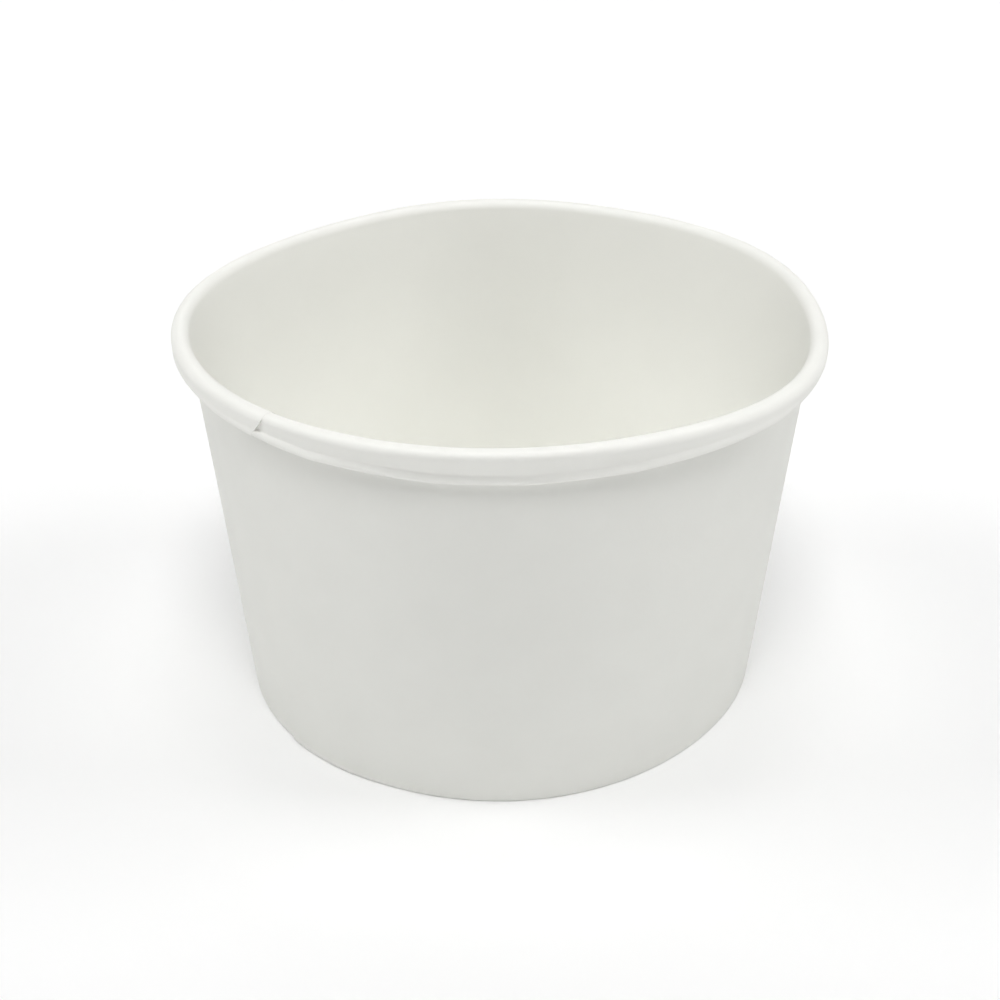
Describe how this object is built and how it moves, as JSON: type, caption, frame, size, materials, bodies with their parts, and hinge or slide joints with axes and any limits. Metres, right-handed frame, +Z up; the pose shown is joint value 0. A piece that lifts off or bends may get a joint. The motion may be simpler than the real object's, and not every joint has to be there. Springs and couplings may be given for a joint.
{
  "type": "paper sundae cup",
  "caption": "Short round tapered paper cup with a rolled rim, a lapped side seam and a recessed flat bottom.",
  "frame": {"origin": "centre of the circle that the foot stands on, in the plane of the foot", "axes": "+Z up along the cup's axis, out of the mouth; +X right and -Y towards the viewer, with the side seam at the front left"},
  "size_m": [0.096, 0.096, 0.06],
  "materials": {
    "wall_board": "satin",
    "bottom_board": "satin"
  },
  "bodies": {
    "root": {"side_wall": "wall_board", "bottom_disc": "bottom_board"}
  },
  "joints": []
}
